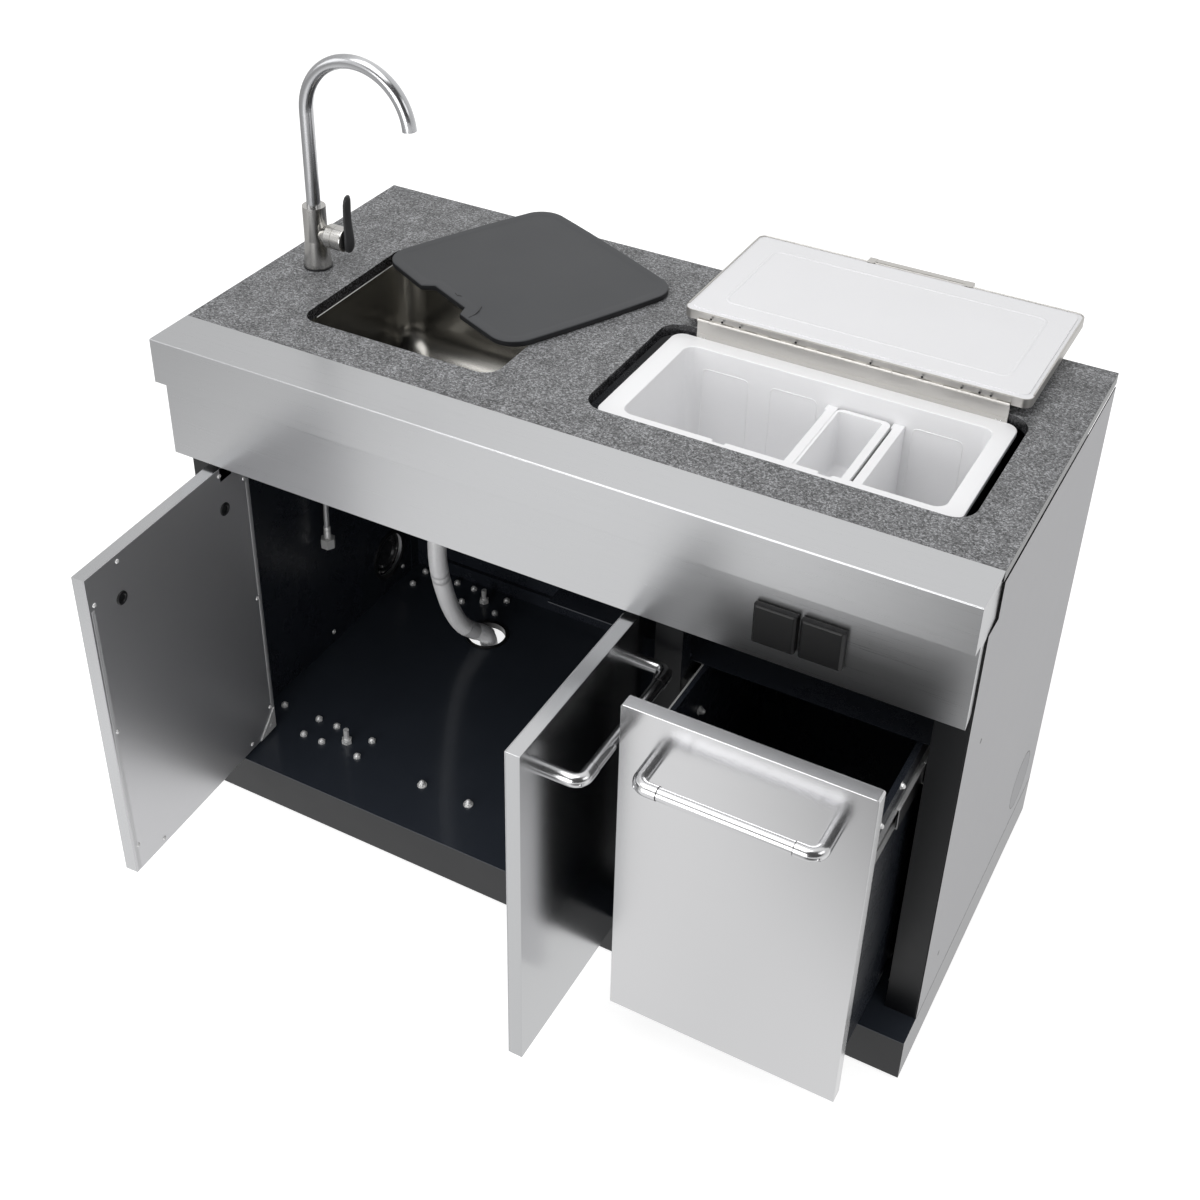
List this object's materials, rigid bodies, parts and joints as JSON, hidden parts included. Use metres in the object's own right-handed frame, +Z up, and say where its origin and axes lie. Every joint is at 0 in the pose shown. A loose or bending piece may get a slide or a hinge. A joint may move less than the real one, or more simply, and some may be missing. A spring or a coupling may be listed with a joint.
{
  "type": "outdoor kitchen island",
  "caption": "Stone-topped outdoor kitchen module with a covered sink, swivel faucet, lidded insulated cooler, hinged doors, a pull-out drawer, sprung outlet covers and casters behind a plinth.",
  "frame": {"origin": "on the ground under the middle of the whole object as pictured, doors open, drawer pulled out and lid laid back", "axes": "+X along the counter from the sink to the cooler, +Y from the doors to the back, +Z up"},
  "size_m": [1.3119, 1.0621, 1.2927],
  "materials": {
    "fascia_steel": "brushed light stainless, satin",
    "door_steel": "brushed light stainless, satin",
    "handle_steel": "fine brushed tube",
    "plain_steel": "bright zinc or stainless hardware",
    "bowl_steel": "satin pressed stainless",
    "side_grey": "light grey satin coat",
    "inside_black": "black semi-gloss coat",
    "plinth_dark": "dark grey satin coat",
    "stone": null,
    "cooler_white": "white moulded plastic, satin gloss",
    "cooler_casing": "black foam-filled casing",
    "cover_grey": "dark grey moulded board, satin",
    "nickel": "brushed nickel",
    "black_trim": "black moulded plastic",
    "hose_grey": "grey ribbed plastic hose",
    "hose_braid": "light braided hose",
    "wheel_black": "black caster tyre"
  },
  "bodies": {
    "cabinet": {"countertop": "stone", "upper_fascia": "fascia_steel", "lower_fascia": "fascia_steel", "outlet_boxes": "black_trim", "left_side_panel": "side_grey", "right_side_panel": "side_grey", "inner_walls": "inside_black", "back_panel": "inside_black", "floor_pan": "inside_black", "front_plinth": "plinth_dark", "side_plinths": "side_grey", "front_frame": "inside_black", "cooler_shelf": "inside_black", "base_plates": "plain_steel", "floor_fasteners": "plain_steel", "levelling_feet": "plain_steel", "sink_bowl": "bowl_steel", "sink_strainer": "plain_steel", "drain_hose": "hose_grey", "supply_hose": "hose_braid", "supply_nut": "plain_steel", "faucet_ring_and_nut": "black_trim", "faucet_body": "nickel", "port_rings": "black_trim", "cooler_tub": "cooler_white", "cooler_shell": "cooler_casing", "cooler_hinge_rail": "plain_steel", "slide_outer_members": "plain_steel"},
    "left_door": {"left_door_skin": "door_steel", "left_door_liner": "door_steel", "left_door_handle": "handle_steel", "left_door_fittings": "plain_steel"},
    "right_door": {"right_door_skin": "door_steel", "right_door_liner": "door_steel", "right_door_handle": "handle_steel", "right_door_fittings": "plain_steel"},
    "drawer": {"drawer_front": "door_steel", "drawer_box": "inside_black", "drawer_handle": "handle_steel", "slide_inner_members": "plain_steel"},
    "drawer_middle_slides": {"slide_middle_members": "plain_steel"},
    "cooler_lid": {"lid_shell": "door_steel", "lid_liner": "cooler_white", "lid_handle": "handle_steel"},
    "sink_cover_board": {"sink_cover": "cover_grey"},
    "left_divider": {"cooler_divider_left": "cooler_white"},
    "right_divider": {"cooler_divider_right": "cooler_white"},
    "pan": {"cooler_pan": "cooler_white"},
    "left_outlet_flap": {"left_outlet_cover": "black_trim"},
    "right_outlet_flap": {"right_outlet_cover": "black_trim"},
    "swivel_spout": {"spout": "nickel"},
    "tap_lever": {"faucet_lever": "nickel"},
    "fork_front_left": {"caster_fork_front_left": "plain_steel"},
    "wheel_front_left": {"caster_wheel_front_left": "wheel_black"},
    "fork_front_right": {"caster_fork_front_right": "plain_steel"},
    "wheel_front_right": {"caster_wheel_front_right": "wheel_black"},
    "fork_rear_left": {"caster_fork_rear_left": "plain_steel"},
    "wheel_rear_left": {"caster_wheel_rear_left": "wheel_black"},
    "fork_rear_right": {"caster_fork_rear_right": "plain_steel"},
    "wheel_rear_right": {"caster_wheel_rear_right": "wheel_black"}
  },
  "joints": [
    {"name": "left_door_swing", "type": "hinge", "parent": "cabinet", "child": "left_door", "pos_m": [-0.5865, -0.1575, 0.306], "axis": [0, 0, -1], "range_deg": [-86.8, 3.8]},
    {"name": "right_door_swing", "type": "hinge", "parent": "cabinet", "child": "right_door", "pos_m": [0.1625, -0.1575, 0.306], "axis": [0, 0, 1], "range_deg": [-90, 0]},
    {"name": "drawer_run", "type": "slide", "parent": "cabinet", "child": "drawer", "axis": [0, -1, 0], "range_m": [-0.206, 0.194]},
    {"name": "drawer_middle_run", "type": "slide", "parent": "cabinet", "child": "drawer_middle_slides", "axis": [0, -1, 0], "range_m": [-0.103, 0.097]},
    {"name": "cooler_lid_hinge", "type": "hinge", "parent": "cabinet", "child": "cooler_lid", "pos_m": [0.297, 0.22, 0.9345], "axis": [-1, 0, 0], "range_deg": [-180, 0]},
    {"name": "sink_cover_lift", "type": "slide", "parent": "cabinet", "child": "sink_cover_board", "axis": [0, 0, 1], "range_m": [0, 0.15]},
    {"name": "left_divider_lift", "type": "slide", "parent": "cabinet", "child": "left_divider", "axis": [0, 0, 1], "range_m": [0, 0.26]},
    {"name": "right_divider_lift", "type": "slide", "parent": "cabinet", "child": "right_divider", "axis": [0, 0, 1], "range_m": [0, 0.26]},
    {"name": "pan_lift", "type": "slide", "parent": "cabinet", "child": "pan", "axis": [0, 0, 1], "range_m": [0, 0.15]},
    {"name": "left_outlet_hinge", "type": "hinge", "parent": "cabinet", "child": "left_outlet_flap", "pos_m": [0.3835, -0.2143, 0.795], "axis": [-1, 0, 0], "range_deg": [0, 90], "stiffness_Nm_per_rad": 0.02, "springref_deg": -28.65},
    {"name": "right_outlet_hinge", "type": "hinge", "parent": "cabinet", "child": "right_outlet_flap", "pos_m": [0.4515, -0.2143, 0.795], "axis": [-1, 0, 0], "range_deg": [0, 90], "stiffness_Nm_per_rad": 0.02, "springref_deg": -28.65},
    {"name": "spout_swivel", "type": "hinge", "parent": "cabinet", "child": "swivel_spout", "pos_m": [-0.582, 0.097, 1.106], "axis": [0, 0, 1], "range_deg": [-110, 110]},
    {"name": "tap_turn", "type": "hinge", "parent": "cabinet", "child": "tap_lever", "pos_m": [-0.542, 0.097, 0.978], "axis": [1, 0, 0], "range_deg": [0, 90]},
    {"name": "caster_swivel_front_left", "type": "hinge", "parent": "cabinet", "child": "fork_front_left", "pos_m": [-0.5617, -0.1025, 0.066], "axis": [0, 0, 1], "continuous": true},
    {"name": "caster_spin_front_left", "type": "hinge", "parent": "fork_front_left", "child": "wheel_front_left", "pos_m": [-0.5617, -0.0885, 0.027], "axis": [1, 0, 0], "continuous": true},
    {"name": "caster_swivel_front_right", "type": "hinge", "parent": "cabinet", "child": "fork_front_right", "pos_m": [0.5617, -0.1025, 0.066], "axis": [0, 0, 1], "continuous": true},
    {"name": "caster_spin_front_right", "type": "hinge", "parent": "fork_front_right", "child": "wheel_front_right", "pos_m": [0.5617, -0.0885, 0.027], "axis": [1, 0, 0], "continuous": true},
    {"name": "caster_swivel_rear_left", "type": "hinge", "parent": "cabinet", "child": "fork_rear_left", "pos_m": [-0.5617, 0.365, 0.066], "axis": [0, 0, 1], "continuous": true},
    {"name": "caster_spin_rear_left", "type": "hinge", "parent": "fork_rear_left", "child": "wheel_rear_left", "pos_m": [-0.5617, 0.379, 0.027], "axis": [1, 0, 0], "continuous": true},
    {"name": "caster_swivel_rear_right", "type": "hinge", "parent": "cabinet", "child": "fork_rear_right", "pos_m": [0.5617, 0.365, 0.066], "axis": [0, 0, 1], "continuous": true},
    {"name": "caster_spin_rear_right", "type": "hinge", "parent": "fork_rear_right", "child": "wheel_rear_right", "pos_m": [0.5617, 0.379, 0.027], "axis": [1, 0, 0], "continuous": true}
  ],
  "couplings": [
    {"joint": "drawer_middle_run", "follows": "drawer_run", "ratio": 0.5}
  ]
}
